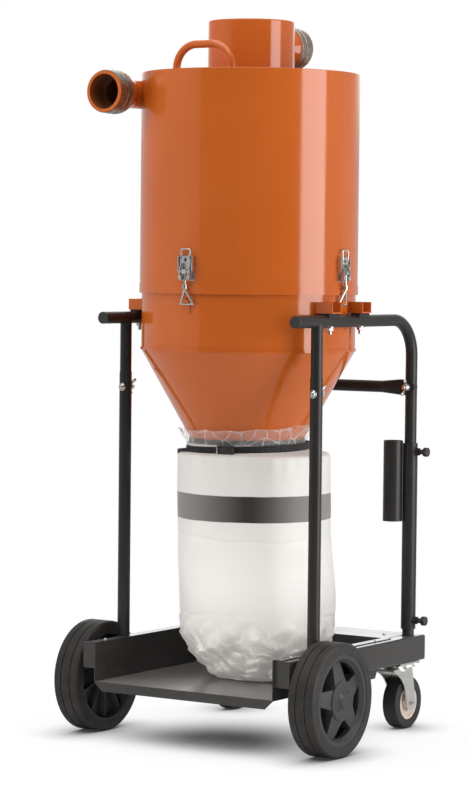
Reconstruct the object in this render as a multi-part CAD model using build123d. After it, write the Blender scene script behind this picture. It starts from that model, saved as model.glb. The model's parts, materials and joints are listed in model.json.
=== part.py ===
"""Mobile cyclone pre-separator: a steel drum and cone over a film bag, on a wheeled cart.

Millimetres, +Z up, front towards -Y, the wheel axle along X.  Every piece is modelled about
the drum's axis and shifted once when it is written, so that the origin lies on the floor
under the middle of the whole object.
"""

import os
from math import cos, radians, sin

from build123d import *

# Clearances and cutting
overrun = 1.0
seat_gap = 0.2
running_gap = 0.05
bearing_gap = 0.3

# Drum, lid and cone: rolled sheet
sheet = 2.0
drum_radius = 254.0
drum_length = 506.5
lid_thickness = 3.0
lid_edge = 1.2
seam_height = 22.0
seam_projection = 1.0
drum_step = 4.5
lower_drum_length = 131.0
seat_rise = 90.0
lip_height = 6.0
lip_projection = 2.5
cone_length = 205.0
collar_radius = 136.0
collar_wall = 4.0
collar_step = 2.0
collar_length = 55.0

# Outlet tower on the lid
tower_radius = 101.0
tower_rise = 121.5
cap_thickness = 6.0
cap_edge = 3.0

# Hose spigots, both alike
spigot_radius = 47.5
spigot_wall = 7.5
spigot_length = 54.0
spigot_stop = 4.0
shoulder_length = 40.0
neck_step = 14.0
neck_wall = 3.0
ring_projection = 1.2
ring_width = 4.0
band_inset = 4.0
band_width = 46.0
band_thickness = 1.2
bead_radius = 1.2
bead_shares = (0.54, 0.92)
inlet_inset = 40.0
inlet_drop = 46.5
inlet_projection = 32.0
outlet_clearance = 3.5
outlet_projection = 95.0

# Lid handle
handle_bar_radius = 9.0
handle_half_width = 75.0
handle_inset = 59.0
handle_rise = 57.0
handle_straight = 1.0
handle_foot_radius = 14.0
handle_foot_thickness = 3.0

# Toggle latches, at the four quarters of the drum joint
latch_count = 4
latch_standoff = 10.0
latch_pivot_rise = 37.5
latch_throw = 12.5
latch_base_half_width = 20.0
latch_base_drop = 7.0
latch_base_rise = 49.0
latch_base_thickness = 2.0
latch_seat_depth = 6.0
latch_flange_thickness = 2.0
latch_flange_reach = 10.0
latch_flange_foot = 12.0
latch_flange_corner = 4.0
ear_inner = 7.0
ear_thickness = 2.5
ear_radius = 6.0
latch_pin_radius = 2.5
loop_top_half_width = 12.5
loop_foot_half_width = 11.0
loop_bar_radius = 2.0
loop_bend = 4.0
loop_foot_inset = 6.0
loop_setback = 1.5
lever_length = 64.0
lever_boss_radius = 5.0
lever_boss_overhang = 1.5
cheek_inner = 11.0
cheek_thickness = 2.5
cheek_depth = 4.0
cheek_bow = 6.0
web_setback = 4.0
web_thickness = 2.5
web_gap = 20.0
web_height = 15.0
web_hole_radius = 4.5
barrel_radius = 3.2
eye_radius = 6.0
eye_half_width = 5.0
hook_rod_radius = 2.7
swivel_radius = 5.5
swivel_length = 10.0
hook_wire_radius = 2.5
hook_half_width = 16.5
hook_bar_standoff = 1.5
hook_bar_drop = 22.5
hook_apex_rise = 12.0
ledge_half_width = 7.5
ledge_overhang = 5.5
ledge_thickness = 6.0
catch_plate_half_width = 6.0
catch_plate_thickness = 2.0
catch_plate_drop = 24.0

# Frame tubes
tube_radius = 14.0
tube_clearance = 0.5
hoop_rise = 753.5
hoop_bend = 85.0
hoop_front = 210.0
post_setforward = 121.0
post_radius = 14.5
stub_step = 0.5
splice_drop = 127.0
leg_clearance = 52.0
leg_splice_drop = 133.5
leg_overlap = 124.0
leg_gap = 160.0
end_cap_thickness = 4.0
sleeve_radius = 17.5
sleeve_drop = 293.0
sleeve_foot_gap = 17.5

# Rear cross bar, flattened at its ends
cross_bar_drop = 160.0
bar_flat_thickness = 6.0
bar_flat_half_height = 18.5
bar_flat_length = 19.0
bar_taper_length = 50.0

# Clamp knobs in the sleeves
knob_foot_inset = 21.0
knob_head_inset = 20.0
boss_radius = 9.0
boss_length = 7.0
stud_radius = 4.0
knob_gap = 2.0
knob_length = 22.0
knob_radius = 11.0
knob_neck_radius = 6.0
knob_neck_length = 11.0
knob_edge = 2.0

# Tool holder on the right sleeve
holder_radius = 23.0
holder_wall = 2.0
holder_length = 192.0
holder_rise = 6.0
holder_bearing = 213.2

# Drum brackets on the hoops
bracket_spacing = 66.0
bracket_width = 40.0
bracket_height = 25.5
bracket_wall = 3.0
bracket_overhang = 18.0
pad_thickness = 4.0
pad_half_width = 12.0
pad_half_length = 22.0

# Cart
tube_inset = 18.0
beam_width = 38.0
beam_height = 60.0
beam_wall = 3.0
beam_corner = 5.0
beam_front = 253.0
beam_tail = 47.0
cross_member_width = 119.0
cross_member_wall = 3.0
tray_sheet = 2.0
tray_drop = 28.5
tray_overhang = 8.0
tray_lip = 22.0
tray_rear_run = 49.0
tray_flange_width = 18.0
flange_setback = 8.0
flange_relief = 2.0

# Big wheels
wheel_radius = 130.0
wheel_width = 66.5
wheel_gap = 6.0
axle_lead = 21.0
tyre_thickness = 26.0
tyre_shoulder = 6.0
groove_width = 2.5
groove_depth = 2.0
groove_spacing = 12.0
barrel_wall = 4.0
rim_inset = 1.0
rim_mouth = 94.0
rim_opening = 86.0
rim_ring_depth = 20.0
back_disc_inset = 26.0
back_disc_thickness = 4.0
spoke_count = 5
spoke_bearing = 10.0
spoke_root = 59.0
spoke_tip = 30.0
spoke_rim_drop = 10.0
spoke_hub_drop = 2.5
rib_count = 10
rib_thickness = 2.5
rib_depth = 16.0
hub_radius = 27.0
hub_inner_reach = 3.0
hub_cap_radius = 45.5
hub_boss_radius = 21.0
hub_boss_top = 12.5
hub_boss_rise = 7.0
cap_hole_radius = 2.5
cap_hole_depth = 5.0
cap_hole_reach = 28.0
cap_hole_bearing = 132.0
axle_radius = 10.0
axle_cover = 15.0

# Axle brackets under the beams
bracket_plate = 4.0
bracket_plate_inset = 2.0
axle_bracket_top = 38.0
axle_bracket_foot = 20.0
axle_bracket_edge = 24.0

# Casters
caster_inset = 21.0
caster_tail = 70.0
caster_trail = 35.0
caster_radius = 62.5
caster_width = 38.0
caster_tyre_thickness = 21.5
caster_tyre_shoulder = 5.0
caster_plate_thickness = 5.0
caster_plate_half_width = 41.0
caster_plate_half_length = 46.0
race_radius = 27.0
race_height = 10.0
crown_radius = 34.0
crown_thickness = 5.0
crown_front = 48.0
crown_back = 38.0
crown_clearance = 18.2
kingpin_radius = 6.0
kingpin_length = 14.0
fork_plate = 3.0
fork_gap = 3.5
fork_eye_radius = 21.0
fork_scoop_radius = 81.0
fork_scoop_reach = 68.0
caster_axle_radius = 5.0
caster_axle_overhang = 1.5
caster_rim_inset = 2.0
caster_rim_dish = 5.0
caster_rim_ring = 6.0
caster_hub_radius = 13.0

# Film bag and its strap
film = 2.0
bag_radius = 177.0
bag_lean = 15.0
bag_lean_bearing = 33.2
bag_foot_height = 100.0
bag_waist_step = 6.0
bag_foot_radius = 92.0
shoulder_drop = 19.0
neck_margin = 1.0
frill_length = 36.0
frill_flare = 19.8
strap_thickness = 2.5
strap_width = 22.0
strap_rise = 24.0
buckle_half_width = 14.0
buckle_half_height = 12.0
buckle_thickness = 7.0
buckle_bearing = 13.0

# Heights, from the casters up through the cart and frame to the drum
caster_top = 2 * caster_radius + crown_clearance + crown_thickness + bearing_gap + race_height
crown_top = caster_top - race_height - bearing_gap
beam_bottom = caster_top + caster_plate_thickness
beam_top = beam_bottom + beam_height
tray_floor = beam_bottom - tray_drop
hoop_height = beam_top + hoop_rise
post_top = hoop_height - splice_drop
leg_splice = hoop_height - leg_splice_drop
sleeve_top = hoop_height - sleeve_drop
sleeve_bottom = beam_top + sleeve_foot_gap
leg_bottom = sleeve_top - leg_overlap
stub_top = leg_bottom - leg_gap
knob_heights = (sleeve_bottom + knob_foot_inset, sleeve_top - knob_head_inset)
cross_bar_height = hoop_height - cross_bar_drop
holder_top = sleeve_top + holder_rise
holder_bottom = holder_top - holder_length
bracket_bottom = hoop_height + tube_radius + pad_thickness
bracket_top = bracket_bottom + bracket_height
lower_drum_bottom = bracket_bottom - seat_rise
drum_bottom = lower_drum_bottom + lower_drum_length
drum_top = drum_bottom + drum_length
lid_top = drum_top + lid_thickness
tower_top = lid_top + tower_rise
inlet_height = drum_top - inlet_drop
outlet_height = tower_top - outlet_clearance - spigot_radius
handle_bend = handle_rise - handle_foot_thickness - handle_straight
handle_axis_height = lid_top + handle_rise
latch_pivot_height = drum_bottom + latch_pivot_rise
hook_bar_height = drum_bottom - hook_bar_drop
hook_apex_height = drum_bottom + hook_apex_rise
cone_bottom = lower_drum_bottom - cone_length
collar_bottom = cone_bottom - collar_length
strap_bottom = collar_bottom + strap_rise
strap_top = strap_bottom + strap_width
bag_neck_top = strap_top + neck_margin
bag_frill_top = bag_neck_top + frill_length
bag_shoulder = strap_bottom - shoulder_drop
bag_waist_height = tray_floor + bag_foot_height

# Places across and along the cart, from the drum outwards
lower_drum_radius = drum_radius - drum_step
cone_end_radius = collar_radius - collar_step
latch_radius = drum_radius + latch_standoff
hook_bar_reach = drum_radius + hook_bar_standoff
ledge_reach = drum_step + hook_bar_standoff + ledge_overhang
tube_offset = lower_drum_radius + tube_clearance + tube_radius
leg_setback = drum_radius + leg_clearance
handle_setback = drum_radius - handle_inset
spigot_bore = spigot_radius - spigot_wall
neck_radius = spigot_radius - neck_step
inlet_offset = drum_radius - inlet_inset
inlet_reach = drum_radius + inlet_projection
outlet_reach = tower_radius + outlet_projection
bracket_reach = tube_offset + bracket_overhang
beam_inner = tube_offset - tube_inset
beam_outer = beam_inner + beam_width
beam_back = leg_setback + beam_tail
cross_member_front = beam_back - cross_member_width
tray_front = beam_front + tray_overhang
tray_back = cross_member_front - tray_rear_run
tray_flange_back = cross_member_front - flange_setback
wheel_inner = beam_outer + wheel_gap
wheel_middle = wheel_inner + wheel_width / 2
wheel_setforward = post_setforward + axle_lead
tyre_bore = wheel_radius - tyre_thickness
axle_outer = wheel_inner + wheel_width - axle_cover
axle_bracket_bottom = wheel_radius - axle_bracket_edge
caster_offset = tube_offset - caster_inset
caster_setback = beam_back - caster_tail
caster_axle_setback = caster_setback + caster_trail
caster_tyre_bore = caster_radius - caster_tyre_thickness
bag_neck = collar_radius + seat_gap + film
strap_inner = bag_neck + seat_gap
drum_y = (inlet_reach - caster_axle_setback - caster_radius) / 2

BASE = (Align.CENTER, Align.CENTER, Align.MIN)
SIDES = {"left": -1, "right": 1}
QUARTERS = ("front", "right", "back", "left")


def disc(radius, bottom, top):
    """Upright cylinder on the drum's axis."""
    return Pos(0, 0, bottom) * Cylinder(radius, top - bottom, align=BASE)


def pipe(outer, inner, bottom, top):
    """Upright tube on the drum's axis."""
    return disc(outer, bottom, top) - disc(inner, bottom - overrun, top + overrun)


def rod(start, end, radius):
    """Round bar from one point to another."""
    run = Vector(*end) - Vector(*start)
    return Plane(origin=start, z_dir=run.normalized()) * Cylinder(radius, run.length, align=BASE)


def block(low, high):
    """Box between two corners."""
    size = [top - bottom for bottom, top in zip(low, high)]
    middle = [(top + bottom) / 2 for bottom, top in zip(low, high)]
    return Pos(*middle) * Box(*size)


def bent_bar(points, radius, bend):
    """Round bar along straight runs joined by equal bends."""
    path = FilletPolyline(*points, radius=bend)
    return sweep(Plane(origin=path @ 0, z_dir=path % 0) * Circle(radius), path=path)


def plate_x(outline, low, high):
    """Flat plate between two X planes, its outline given as (Y, Z) points."""
    face = Plane.YZ.offset(low) * make_face(Polyline(*outline, close=True))
    return extrude(face, high - low)


def both_sides(piece):
    """The piece and its mirror image across the middle plane, as separate solids."""
    return Compound([*piece.solids(), *mirror(piece, about=Plane.YZ).solids()])


def save(name, piece):
    """Write one node, moved from the drum's axis to the part's own frame."""
    export_step(Pos(0, drum_y, 0) * piece, f"parts/{name}.step")


def spigot(length):
    """Hose spigot along +Z from its mouth: a collar with a locating ring, a taper and a neck."""
    shoulder_end = spigot_length + shoulder_length
    body = disc(spigot_radius, 0, spigot_length)
    body += Pos(0, 0, spigot_length) * Cone(spigot_radius, neck_radius, shoulder_length, align=BASE)
    body += disc(neck_radius, shoulder_end, length)
    ring_start = band_inset + band_width
    body += disc(spigot_radius + ring_projection, ring_start, ring_start + ring_width)
    body -= disc(spigot_bore, -overrun, spigot_length - spigot_stop)
    return body - disc(neck_radius - neck_wall, 0, length + overrun)


def hose_band():
    """Bare metal band with two rolled beads, round a spigot's collar."""
    inner = spigot_radius + seat_gap
    outer = inner + band_thickness
    band = disc(outer, band_inset, band_inset + band_width)
    for share in bead_shares:
        band += Pos(0, 0, band_inset + share * band_width) * Torus(outer, bead_radius)
    return band - disc(inner, 0, spigot_length)


def inlet_place():
    return Pos(-inlet_offset, -inlet_reach, inlet_height) * Rot(-90, 0, 0)


def outlet_place():
    return Pos(0, outlet_reach, outlet_height) * Rot(90, 0, 0)


def make_body():
    """Drum, lid, tower, spigots, cone and discharge collar."""
    inlet = inlet_place() * spigot(inlet_reach)
    outlet = outlet_place() * spigot(outlet_reach)
    inlet_bore = inlet_place() * disc(neck_radius - neck_wall, 0, inlet_reach)
    outlet_bore = outlet_place() * disc(neck_radius - neck_wall, 0, outlet_reach)

    upper = disc(drum_radius, drum_bottom, drum_top)
    upper += disc(drum_radius + seam_projection, drum_bottom, drum_bottom + seam_height)
    upper -= disc(drum_radius - sheet, drum_bottom - overrun, drum_top + overrun)
    save("upper_drum", upper - inlet_bore)
    lid = pipe(drum_radius, tower_radius - sheet, drum_top, lid_top)
    lid_rim = lid.edges().group_by(Axis.Z)[-1].sort_by(SortBy.LENGTH)[-1]
    save("top_plate", fillet(lid_rim, lid_edge))

    cap_bottom = tower_top - cap_thickness
    tower = pipe(tower_radius, tower_radius - sheet, lid_top, cap_bottom)
    save("outlet_tower", tower - outlet_bore)
    cap = disc(tower_radius, cap_bottom, tower_top)
    save("tower_cap", fillet(cap.edges().group_by(Axis.Z)[-1], cap_edge))
    save("inlet_pipe", inlet - disc(drum_radius, drum_bottom, drum_top))
    save("outlet_pipe", outlet - disc(tower_radius, lid_top, cap_bottom))
    save("hose_bands", Compound([inlet_place() * hose_band(), outlet_place() * hose_band()]))

    lower = disc(lower_drum_radius, lower_drum_bottom, drum_bottom)
    lip_top = lower_drum_bottom + lip_height
    lower += disc(lower_drum_radius + lip_projection, lower_drum_bottom, lip_top)
    lower -= disc(lower_drum_radius - sheet, lower_drum_bottom - overrun, drum_bottom + overrun)
    save("lower_drum", lower)

    outer = Cone(cone_end_radius, lower_drum_radius, cone_length, align=BASE)
    inner = Cone(cone_end_radius - sheet, lower_drum_radius - sheet, cone_length, align=BASE)
    save("cone", Pos(0, 0, cone_bottom) * (outer - inner))
    collar = pipe(collar_radius, collar_radius - collar_wall, collar_bottom, cone_bottom)
    save("discharge_collar", collar)


def make_lid_handle():
    """Bent bar with a round foot at each end."""
    foot = lid_top + handle_foot_thickness
    left = (-handle_half_width, -handle_setback)
    right = (handle_half_width, -handle_setback)
    points = [(*left, foot), (*left, handle_axis_height), (*right, handle_axis_height), (*right, foot)]
    bar = bent_bar(points, handle_bar_radius, handle_bend)
    for side in (-handle_half_width, handle_half_width):
        bar += Pos(side, -handle_setback, 0) * disc(handle_foot_radius, lid_top, foot)
    save("lid_handle", bar)


def latch_base():
    """Plate on the upper drum with a flange along each side and two ears for the lever's pins."""
    pivot = (0, -latch_radius, latch_pivot_height)
    w = latch_base_half_width
    inside = -drum_radius + latch_seat_depth
    front = -drum_radius - latch_base_thickness
    bottom = latch_pivot_height - latch_base_drop
    top = latch_pivot_height + latch_base_rise
    base = block((-w, front, bottom), (w, inside, top))
    edge = -drum_radius - latch_flange_reach
    for side in (-1, 1):
        low, high = sorted((side * w, side * (w - latch_flange_thickness)))
        flange = block((low, edge, latch_pivot_height + latch_flange_foot), (high, inside, top))
        corners = flange.edges().filter_by(Axis.X).group_by(Axis.Y)[0]
        base += fillet(corners, latch_flange_corner)
        face = side * (ear_inner + ear_thickness / 2)
        ear = Pos(face, *pivot[1:]) * Rot(0, 90, 0) * Cylinder(ear_radius, ear_thickness)
        low = (face - ear_thickness / 2, -latch_radius, latch_pivot_height - ear_radius)
        high = (face + ear_thickness / 2, inside, latch_pivot_height + ear_radius)
        base += ear + block(low, high)
    base -= Pos(*pivot) * Rot(0, 90, 0) * Cylinder(latch_pin_radius + running_gap, 2 * w)
    return base - disc(drum_radius + seat_gap, drum_bottom, drum_top)


def latch_lever():
    """Two bowed cheeks on pivot pins, a pierced web, a flared wire loop and the hook's barrel."""
    y, z = -latch_radius, latch_pivot_height
    top = z + lever_length
    barrel = z + latch_throw
    web_bottom = barrel + web_gap
    web_top = web_bottom + web_height
    foot, head = loop_foot_half_width, loop_top_half_width
    plane = y + loop_setback
    loop_foot = web_top - loop_foot_inset
    loop = [(-foot, plane, loop_foot), (-head, plane, top), (head, plane, top), (foot, plane, loop_foot)]
    lever = bent_bar(loop, loop_bar_radius, loop_bend)
    boss_start = ear_inner + ear_thickness + bearing_gap
    cheek_end = cheek_inner + cheek_thickness
    boss_end = cheek_end + lever_boss_overhang
    back = y + web_setback
    face = back - web_thickness
    outline = [(back, z), (y - cheek_depth, z), (y - cheek_bow, barrel), (face, web_bottom), (face, web_top),
               (back, web_top)]
    for side in (-1, 1):
        lever += plate_x(outline, *sorted((side * cheek_inner, side * cheek_end)))
        lever += rod((side * boss_start, y, z), (side * boss_end, y, z), lever_boss_radius)
        lever += rod((side * ear_inner, y, z), (side * boss_end, y, z), latch_pin_radius)
    web = block((-cheek_end, face, web_bottom), (cheek_end, back, web_top))
    middle = (web_bottom + web_top) / 2
    web -= rod((0, face - overrun, middle), (0, back + overrun, middle), web_hole_radius)
    return lever + web + rod((-boss_end, y, barrel), (boss_end, y, barrel), barrel_radius)


def latch_hook():
    """Eye, threaded rod, swivel nut and a wire triangle that leans in under the catch."""
    y, z = -latch_radius, latch_pivot_height + latch_throw
    apex = (0, y, hook_apex_height)
    corners = [(side * hook_half_width, -hook_bar_reach, hook_bar_height) for side in (-1, 1)]
    hook = rod((-eye_half_width, y, z), (eye_half_width, y, z), eye_radius)
    hook += rod((0, y, z), apex, hook_rod_radius)
    hook += Pos(0, y, 0) * disc(swivel_radius, hook_apex_height, hook_apex_height + swivel_length)
    for start, end in ((apex, corners[0]), (apex, corners[1]), corners):
        hook += rod(start, end, hook_wire_radius)
    for knee in (apex, *corners):
        hook += Pos(*knee) * Sphere(hook_wire_radius)
    return hook - Pos(0, y, z) * Rot(0, 90, 0) * Cylinder(barrel_radius + running_gap, 2 * cheek_inner)


def latch_catch():
    """Plate on the lower drum behind the hook's bar, bent out into a ledge above it."""
    underside = hook_bar_height + hook_wire_radius + bearing_gap
    inside = -lower_drum_radius + latch_seat_depth
    top = underside + ledge_thickness
    low = (-ledge_half_width, -lower_drum_radius - ledge_reach, underside)
    catch = block(low, (ledge_half_width, inside, top))
    face = -lower_drum_radius - catch_plate_thickness
    low = (-catch_plate_half_width, face, underside - catch_plate_drop)
    catch += block(low, (catch_plate_half_width, inside, top))
    return catch - disc(lower_drum_radius + seat_gap, lower_drum_bottom, drum_bottom)


def make_latches():
    turns = [Rot(0, 0, 360 / latch_count * index) for index in range(latch_count)]
    base, lever, hook, catch = latch_base(), latch_lever(), latch_hook(), latch_catch()
    save("latch_bases", Compound([turn * base for turn in turns]))
    save("latch_catches", Compound([turn * catch for turn in turns]))
    for name, turn in zip(QUARTERS, turns):
        save(f"{name}_latch_lever", turn * lever)
        save(f"{name}_latch_hook", turn * hook)


def make_frame():
    """Hoops, posts, rear legs in their sleeves, base stubs and end caps."""
    points = [(tube_offset, -hoop_front, hoop_height), (tube_offset, leg_setback, hoop_height),
              (tube_offset, leg_setback, leg_splice)]
    hoop = bent_bar(points, tube_radius, hoop_bend)
    splice = (tube_offset, -post_setforward, post_top)
    hoop += rod(splice, (tube_offset, -post_setforward, hoop_height), tube_radius - stub_step)
    post = rod((tube_offset, -post_setforward, beam_top), splice, post_radius)
    leg_axis = Pos(tube_offset, leg_setback, 0)
    leg = leg_axis * disc(tube_radius, leg_bottom, leg_splice)
    sleeve = leg_axis * disc(sleeve_radius, sleeve_bottom, sleeve_top)
    boss_end = tube_offset + sleeve_radius + boss_length
    for height in knob_heights:
        sleeve += rod((tube_offset, leg_setback, height), (boss_end, leg_setback, height), boss_radius)
    sleeve -= leg_axis * disc(tube_radius + seat_gap, sleeve_bottom - overrun, sleeve_top + overrun)
    for height in knob_heights:
        end = (boss_end + overrun, leg_setback, height)
        sleeve -= rod((tube_offset, leg_setback, height), end, stud_radius + running_gap)
    labels = {"hoop": hoop, "front_post": post, "rear_leg": leg, "rear_sleeve": sleeve}
    for name, side in SIDES.items():
        for label, piece in labels.items():
            save(f"{name}_{label}", piece if side > 0 else mirror(piece, about=Plane.YZ))
    save("base_stubs", both_sides(leg_axis * disc(tube_radius, beam_top, stub_top)))
    cap_start = (tube_offset, -hoop_front, hoop_height)
    cap_end = (tube_offset, -hoop_front - end_cap_thickness, hoop_height)
    save("tube_end_caps", both_sides(rod(cap_start, cap_end, tube_radius)))


def make_cross_bar():
    """Round bar whose flattened ends lie against the front of the rear legs."""
    half = bar_flat_thickness / 2
    taper_end = tube_offset - bar_flat_length
    taper_start = taper_end - bar_taper_length
    round_end = Plane.YZ.offset(taper_start) * Circle(tube_radius)
    flat_end = Plane.YZ.offset(taper_end) * Ellipse(half, bar_flat_half_height)
    end = loft([round_end, flat_end])
    low = (taper_end, -half, -bar_flat_half_height)
    end += block(low, (tube_offset, half, bar_flat_half_height))
    end += rod((tube_offset, -half, 0), (tube_offset, half, 0), bar_flat_half_height)
    bar = rod((-taper_start, 0, 0), (taper_start, 0, 0), tube_radius)
    bar += end + mirror(end, about=Plane.YZ)
    front = leg_setback - tube_radius - seat_gap - half
    save("rear_cross_bar", Pos(0, front, cross_bar_height) * bar)


def make_tool_holder():
    """Short open tube on the inner front of the right sleeve."""
    reach = sleeve_radius + holder_radius + seat_gap
    bearing = radians(holder_bearing)
    place = Pos(tube_offset + reach * cos(bearing), leg_setback + reach * sin(bearing), 0)
    holder = pipe(holder_radius, holder_radius - holder_wall, holder_bottom, holder_top)
    save("tool_holder", place * holder)


def make_knobs():
    """Clamp knobs: a stud through the sleeve's boss and a round grip."""
    stud_start = tube_offset + tube_radius + bearing_gap
    neck_start = tube_offset + sleeve_radius + boss_length + knob_gap
    grip_start = neck_start + knob_neck_length
    grip_end = neck_start + knob_length
    for level, height in zip(("lower", "upper"), knob_heights):
        grip = rod((grip_start, leg_setback, height), (grip_end, leg_setback, height), knob_radius)
        grip = fillet(grip.edges().filter_by(GeomType.CIRCLE), knob_edge)
        grip += rod((neck_start, leg_setback, height), (grip_start, leg_setback, height), knob_neck_radius)
        grip += rod((stud_start, leg_setback, height), (grip_start, leg_setback, height), stud_radius)
        save(f"right_{level}_knob", grip)
        save(f"left_{level}_knob", mirror(grip, about=Plane.YZ))


def make_brackets():
    """U-channels welded to the lower drum, each on a saddle pad over a hoop."""
    brackets = []
    pads = []
    for spacing in (-bracket_spacing, bracket_spacing):
        low = (0, spacing - bracket_width / 2, bracket_bottom)
        high = (bracket_reach, spacing + bracket_width / 2, bracket_top)
        channel = block(low, high)
        low = (-overrun, low[1] + bracket_wall, low[2] + bracket_wall)
        high = (bracket_reach + overrun, high[1] - bracket_wall, high[2] + overrun)
        channel -= block(low, high)
        channel -= disc(lower_drum_radius + seat_gap, bracket_bottom - overrun, bracket_top + overrun)
        brackets.append(channel)
        low = (tube_offset - pad_half_width, spacing - pad_half_length, hoop_height)
        high = (tube_offset + pad_half_width, spacing + pad_half_length, bracket_bottom)
        start = (tube_offset, -hoop_front, hoop_height)
        end = (tube_offset, leg_setback, hoop_height)
        pads.append(block(low, high) - rod(start, end, tube_radius + seat_gap))
    save("drum_brackets", both_sides(Compound(brackets)))
    save("bracket_pads", both_sides(Compound(pads)))


def make_cart():
    """Side beams, rear cross member, tray, axle brackets and stub axles."""
    beam = block((beam_inner, -beam_front, beam_bottom), (beam_outer, beam_back, beam_top))
    beam = fillet(beam.edges().filter_by(Axis.Y), beam_corner)
    low = (beam_inner + beam_wall, -beam_front + beam_wall, beam_bottom + beam_wall)
    beam -= block(low, (beam_outer - beam_wall, beam_back - beam_wall, beam_top - beam_wall))
    save("right_beam", beam)
    save("left_beam", mirror(beam, about=Plane.YZ))

    member = block((-beam_inner, cross_member_front, beam_bottom), (beam_inner, beam_back, beam_top))
    low = (-beam_inner - overrun, cross_member_front + cross_member_wall, beam_bottom - overrun)
    member -= block(low, (beam_inner + overrun, beam_back - cross_member_wall, beam_top - cross_member_wall))
    save("rear_cross_member", member)
    save("tray", make_tray())

    plates = []
    axle_y = -wheel_setforward
    outline = [(axle_y - axle_bracket_top, beam_bottom), (axle_y + axle_bracket_top, beam_bottom),
               (axle_y + axle_bracket_foot, axle_bracket_bottom),
               (axle_y - axle_bracket_foot, axle_bracket_bottom)]
    inner = beam_inner + bracket_plate_inset
    outer = beam_outer - bracket_plate_inset
    axle = rod((inner, axle_y, wheel_radius), (axle_outer, axle_y, wheel_radius), axle_radius)
    hole = rod((0, axle_y, wheel_radius), (axle_outer, axle_y, wheel_radius), axle_radius + seat_gap)
    for start in (inner, outer - bracket_plate):
        plates.append(plate_x(outline, start, start + bracket_plate) - hole)
    save("axle_brackets", both_sides(Compound(plates)))
    save("stub_axles", both_sides(axle))


def make_tray():
    """Bent-sheet tray hung from the beams by its flanges, its rear sloped and its front lip bent down."""
    bottom = tray_floor - tray_sheet
    tray = block((-beam_inner, -tray_front, bottom), (beam_inner, tray_back, tray_floor))
    rear = [(tray_back - tray_sheet, bottom), (tray_back, bottom), (cross_member_front, beam_top),
            (cross_member_front - tray_sheet, beam_top)]
    tray += plate_x(rear, -beam_inner, beam_inner)
    flange_top = beam_top + tray_sheet
    side_outline = [(-tray_front, bottom), (tray_back, bottom), (cross_member_front, beam_top),
                    (cross_member_front, flange_top), (-tray_front, flange_top)]
    for side in SIDES.values():
        inner_face = beam_inner - tray_sheet
        wall = plate_x(side_outline, inner_face, beam_inner)
        low = (inner_face, -beam_front, beam_top)
        flange = block(low, (beam_inner + tray_flange_width, tray_flange_back, flange_top))
        relief = disc(post_radius + flange_relief, beam_top - overrun, flange_top + overrun)
        half = wall + (flange - Pos(tube_offset, -post_setforward, 0) * relief)
        tray += half if side > 0 else mirror(half, about=Plane.YZ)
    chamfer_end = beam_inner - tray_lip
    outline = [(-beam_inner, bottom), (beam_inner, bottom), (chamfer_end, tray_floor - tray_lip),
               (-chamfer_end, tray_floor - tray_lip)]
    lip_plane = Plane(origin=(0, -tray_front, 0), x_dir=(1, 0, 0), z_dir=(0, -1, 0))
    lip = extrude(lip_plane * make_face(Polyline(*outline, close=True)), -tray_sheet)
    return tray + lip


def wheel_hub(half):
    """Moulded hub: a barrel with a bevelled mouth, spokes that fall away to it, a cap and rear ribs."""
    face = half - rim_inset
    rim_outer = tyre_bore - seat_gap
    barrel_inner = rim_outer - barrel_wall
    hub = pipe(rim_outer, barrel_inner, -face, face)
    hub += pipe(rim_outer, rim_opening, face - rim_ring_depth, face)
    spoke_foot = half - spoke_rim_drop
    spoke_head = half - spoke_hub_drop
    mouth = Cone(rim_opening, rim_mouth, face - spoke_foot, align=BASE)
    hub -= Pos(0, 0, spoke_foot) * mouth

    disc_low = -half + back_disc_inset
    hub += disc(barrel_inner + overrun, disc_low, disc_low + back_disc_thickness)
    spoke_end = rim_opening + overrun
    outline = [(0, -spoke_root / 2), (spoke_end, -spoke_tip / 2),
               (spoke_end, spoke_tip / 2), (0, spoke_root / 2)]
    spoke_face = Plane.XY.offset(disc_low) * make_face(Polyline(*outline, close=True))
    spoke = extrude(spoke_face, spoke_head - disc_low)
    falling = Cone(spoke_end, hub_cap_radius, spoke_head - spoke_foot, align=BASE)
    spoke &= disc(spoke_end, disc_low, spoke_foot) + Pos(0, 0, spoke_foot) * falling
    for index in range(spoke_count):
        hub += Rot(0, 0, 360 / spoke_count * index + 180 + spoke_bearing) * spoke
    rib = block((0, -rib_thickness / 2, disc_low - rib_depth),
                (barrel_inner + overrun, rib_thickness / 2, disc_low))
    for index in range(rib_count):
        hub += Rot(0, 0, 360 / rib_count * index) * rib

    hub += disc(hub_radius, -half - hub_inner_reach, half)
    hub += disc(hub_cap_radius, disc_low, half)
    hub += Pos(0, 0, half) * Cone(hub_boss_radius, hub_boss_top, hub_boss_rise, align=BASE)
    for turn in (cap_hole_bearing, cap_hole_bearing + 180):
        hole = Pos(cap_hole_reach, 0, 0) * disc(cap_hole_radius, half - cap_hole_depth, half + overrun)
        hub -= Rot(0, 0, turn) * hole
    bore_end = axle_outer - wheel_middle + bearing_gap
    return hub - disc(axle_radius + running_gap, -half - hub_inner_reach - overrun, bore_end)


def make_wheels():
    """Big wheels, modelled on the Z axis with the outer face up, then laid on the axle."""
    half = wheel_width / 2
    tyre = disc(wheel_radius, -half, half)
    tyre = fillet(tyre.edges(), tyre_shoulder)
    for middle in (-groove_spacing, groove_spacing):
        low = middle - groove_width / 2
        tyre -= pipe(wheel_radius + overrun, wheel_radius - groove_depth, low, low + groove_width)
    tyre -= disc(tyre_bore, -half - overrun, half + overrun)

    hub = wheel_hub(half)
    for name, side in SIDES.items():
        place = Pos(side * wheel_middle, -wheel_setforward, wheel_radius) * Rot(0, side * 90, 0)
        save(f"{name}_wheel_tyre", place * tyre)
        save(f"{name}_wheel_hub", place * hub)


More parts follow.
